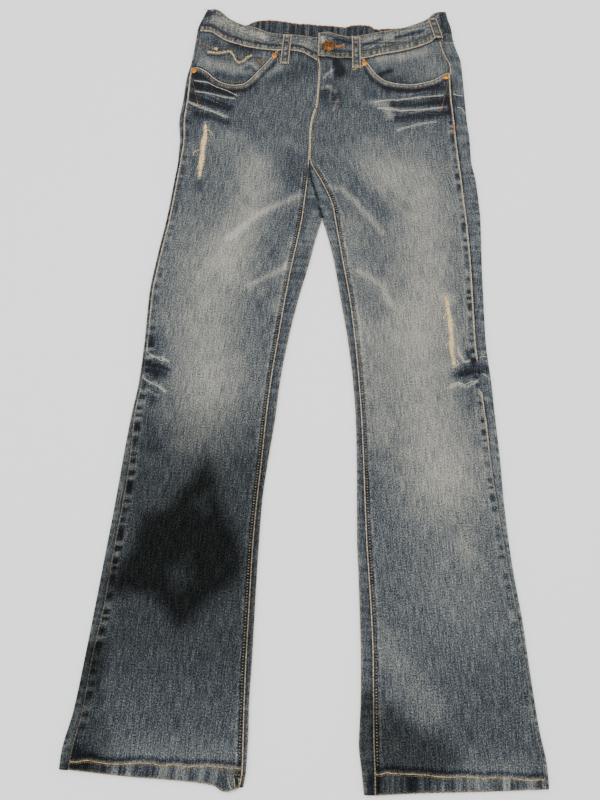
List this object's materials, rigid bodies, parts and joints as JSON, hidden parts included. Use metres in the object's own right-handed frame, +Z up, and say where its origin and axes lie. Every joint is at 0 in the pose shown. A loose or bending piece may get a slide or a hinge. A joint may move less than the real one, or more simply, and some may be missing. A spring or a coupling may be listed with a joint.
{
  "type": "ripped jeans laid flat",
  "caption": "Bootcut denim jeans lying flat, front up, fastened at the waist, with a worn slit in one thigh and one by the other knee.",
  "frame": {"origin": "on the surface it lies on, under the middle of the whole garment's outline", "axes": "+Y runs from the hems to the waist, +X to the wearer's left leg, +Z up from the surface out of the front of the jeans"},
  "size_m": [0.6144, 1.1436, 0.0122],
  "materials": {
    "denim_front": "faded blue-grey twill, light on the thighs",
    "denim_back": "darker blue-grey twill, little worn",
    "denim_band": "worn twill with tan edges and brown topstitching",
    "denim_facing": "worn twill behind the pocket mouths",
    "copper": "polished copper-coloured rivet caps",
    "bronze": "dark bronze jeans button with a raised pattern",
    "zip_brass": "worn brass zip slider"
  },
  "bodies": {
    "root": {"front_right": "denim_front", "front_left": "denim_front", "back_right": "denim_back", "back_left": "denim_back", "yoke_right": "denim_back", "yoke_left": "denim_back", "waistband_right": "denim_band", "waistband_left": "denim_band", "waistband_tab": "denim_band", "waistband_back": "denim_band", "pocket_facing_right": "denim_facing", "pocket_facing_left": "denim_facing", "coin_pocket": "denim_facing", "back_pocket_right": "denim_back", "back_pocket_left": "denim_back", "loop_front_right": "denim_band", "loop_front_left": "denim_band", "loop_side_left": "denim_band", "loop_side_right": "denim_band", "loop_back": "denim_band", "coin_zip_slider": "zip_brass", "button": "bronze", "rivet_right_inner": "copper", "rivet_right_outer": "copper", "rivet_left_inner": "copper", "rivet_left_outer": "copper"}
  },
  "joints": []
}
